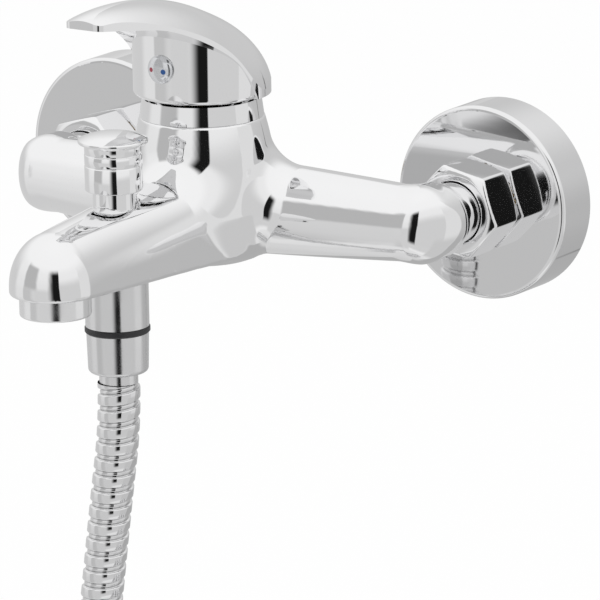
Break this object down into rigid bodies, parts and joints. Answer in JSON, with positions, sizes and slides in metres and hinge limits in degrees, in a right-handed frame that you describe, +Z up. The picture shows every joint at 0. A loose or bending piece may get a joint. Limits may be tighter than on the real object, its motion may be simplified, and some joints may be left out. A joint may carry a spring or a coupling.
{
  "type": "bath shower mixer",
  "caption": "Wall-mounted bath and shower mixer with a single lever over a round tower, a short spout, a pull-up diverter and a ribbed shower hose.",
  "frame": {"origin": "on the finished wall, midway between the two inlets at the height of the arms' axis", "axes": "+X along the wall from the hot to the cold inlet, +Y into the wall, +Z up"},
  "size_m": [0.2325, 0.1803, 0.3785],
  "materials": {
    "chrome": "mirror-bright chrome plating",
    "brass": "turned brass",
    "rubber": "black rubber",
    "white_plastic": "moulded white plastic",
    "ceramic": "lapped ceramic, density near glass",
    "steel": "stainless steel",
    "index_plug": "grey plastic with a red and a blue mark",
    "grey_plastic": "soft grey plastic band"
  },
  "bodies": {
    "mixer": {"aerator_insert": "white_plastic", "aerator_ring": "chrome", "aerator_washer": "rubber", "cartridge_base": "white_plastic", "cartridge_housing": "white_plastic", "cartridge_nut": "brass", "cold_inlet_nipple": "chrome", "cold_rose": "chrome", "cold_union_nut": "chrome", "cold_union_washer": "rubber", "cold_wall_union": "brass", "diverter_bonnet": "chrome", "diverter_spring": "steel", "dome_ring": "chrome", "fixed_ceramic_disc": "ceramic", "handset_ferrule": "chrome", "handset_nut": "chrome", "handset_seal": "rubber", "hose_coil": "chrome", "hose_ferrule": "chrome", "hose_nut": "chrome", "hose_seal": "rubber", "hose_tie": "grey_plastic", "hot_inlet_nipple": "chrome", "hot_rose": "chrome", "hot_union_nut": "chrome", "hot_union_washer": "rubber", "hot_wall_union": "brass", "mixer_body": "chrome", "outlet_washer": "rubber", "port_seals": "rubber", "shower_hose": "chrome", "shower_outlet": "chrome"},
    "rotor": {"rotor": "white_plastic", "pivot_pin": "steel"},
    "lever": {"lever_handle": "chrome", "lever_spindle": "brass", "index_plug": "index_plug", "grub_screw": "steel"},
    "slider": {"disc_carrier": "white_plastic", "moving_ceramic_disc": "ceramic"},
    "diverter": {"diverter_knob": "chrome", "diverter_rod": "brass", "diverter_valve": "rubber"}
  },
  "joints": [
    {"name": "temperature_turn", "type": "hinge", "parent": "mixer", "child": "rotor", "pos_m": [0, -0.068, 0.03], "axis": [0, 0, 1], "range_deg": [-50, 50]},
    {"name": "flow_lift", "type": "hinge", "parent": "rotor", "child": "lever", "pos_m": [0, -0.068, 0.031], "axis": [-1, 0, 0], "range_deg": [0, 25]},
    {"name": "disc_slide", "type": "slide", "parent": "rotor", "child": "slider", "axis": [0, -1, 0], "range_m": [0, 0.0039]},
    {"name": "diverter_pull", "type": "slide", "parent": "mixer", "child": "diverter", "axis": [0, 0, 1], "range_m": [0, 0.0075], "stiffness_N_per_m": 150, "springref_m": -0.01, "deforming": ["diverter_spring"]}
  ],
  "couplings": [
    {"joint": "disc_slide", "follows": "flow_lift", "m_per_rad": 0.00872}
  ]
}
